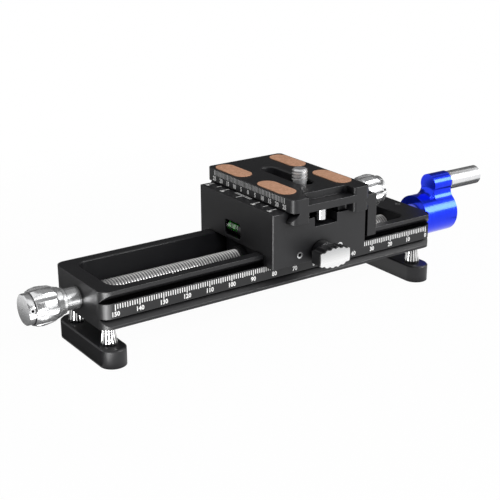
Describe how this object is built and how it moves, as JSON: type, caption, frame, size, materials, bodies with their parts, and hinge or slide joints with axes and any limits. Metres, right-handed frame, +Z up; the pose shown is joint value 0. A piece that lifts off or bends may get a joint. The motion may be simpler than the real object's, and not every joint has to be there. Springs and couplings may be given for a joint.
{
  "type": "macro focusing rail",
  "caption": "Focusing rail: a carriage with a plate clamp runs on a dovetail rail, driven by a lead screw with a crank and a fine knob, on two low foot bars.",
  "frame": {"origin": "centre of the object's box, on the surface that the foot bars stand on", "axes": "+X along the rail from the focus knob to the crank, +Y to the back, away from the lock knob, +Z up along the camera screw"},
  "size_m": [0.2256, 0.066, 0.058],
  "materials": {
    "black_anodised": "satin black anodised, machined",
    "bright_metal": "bright turned",
    "steel": "plain turned",
    "bronze": "turned bearing bronze",
    "black_acetal": "matt black, machined",
    "blue_anodised": "bright blue anodised",
    "tan_rubber": "matt cork rubber",
    "vial_glass": "clear glass",
    "vial_liquid": "clear green liquid"
  },
  "bodies": {
    "frame": {"rail_body": "black_anodised", "bush_left": "bronze", "bush_right": "bronze", "bush_screw": "bright_metal", "foot_bar_left": "black_anodised", "foot_bar_right": "black_anodised", "foot_posts": "bright_metal", "foot_screws": "steel"},
    "screw": {"lead_screw": "bright_metal", "thrust_washer": "bright_metal", "focus_knob": "bright_metal", "focus_grub": "steel", "crank_arm": "blue_anodised", "crank_spacer": "bright_metal", "crank_grub": "steel", "crank_pin": "steel"},
    "grip": {"crank_grip": "bright_metal"},
    "carriage": {"carriage_body": "black_anodised", "nut_block": "black_anodised", "lead_nut": "black_acetal", "nut_screws": "steel", "gib_strip": "black_anodised", "gib_screws": "bright_metal", "level_vial": "vial_glass", "level_liquid": "vial_liquid"},
    "lock": {"lock_knob": "black_anodised", "lock_screw": "steel"},
    "jaw": {"clamp_jaw": "black_anodised", "jaw_pins": "steel"},
    "clamp": {"clamp_screw": "steel", "clamp_washer": "bright_metal", "clamp_knob": "bright_metal", "clamp_grub": "steel"},
    "plate": {"qr_plate": "black_anodised", "grip_pads": "tan_rubber", "stop_pins": "bright_metal"},
    "stud_carrier": {"camera_washer": "steel"},
    "stud": {"camera_screw": "bright_metal"}
  },
  "joints": [
    {"name": "carriage_slide", "type": "slide", "parent": "frame", "child": "carriage", "axis": [1, 0, 0], "range_m": [-0.063, 0.016]},
    {"name": "screw_turn", "type": "hinge", "parent": "frame", "child": "screw", "pos_m": [-0.09123, 0.00302, 0.02235], "axis": [1, 0, 0], "range_deg": [-4650, 18200]},
    {"name": "grip_spin", "type": "hinge", "parent": "screw", "child": "grip", "pos_m": [0.09317, 0.00302, 0.0356], "axis": [1, 0, 0], "continuous": true},
    {"name": "lock_turn", "type": "hinge", "parent": "carriage", "child": "lock", "pos_m": [0.00137, -0.02262, 0.0287], "axis": [0, 1, 0], "range_deg": [-120, 30]},
    {"name": "jaw_slide", "type": "slide", "parent": "carriage", "child": "jaw", "axis": [1, 0, 0], "range_m": [0, 0.004]},
    {"name": "clamp_turn", "type": "hinge", "parent": "jaw", "child": "clamp", "pos_m": [0.03008, 0.00302, 0.0387], "axis": [1, 0, 0], "range_deg": [0, 1441]},
    {"name": "plate_slide", "type": "slide", "parent": "carriage", "child": "plate", "axis": [0, 1, 0], "range_m": [-0.015, 0.015]},
    {"name": "stud_slide", "type": "slide", "parent": "plate", "child": "stud_carrier", "axis": [0, 1, 0], "range_m": [-0.0035, 0.021]},
    {"name": "stud_spin", "type": "hinge", "parent": "stud_carrier", "child": "stud", "pos_m": [0.00398, -0.00573, 0.05295], "axis": [0, 0, 1], "continuous": true}
  ],
  "couplings": [
    {"joint": "screw_turn", "follows": "carriage_slide", "rad_per_m": -5026.5},
    {"joint": "clamp_turn", "follows": "jaw_slide", "rad_per_m": 6283.2}
  ]
}
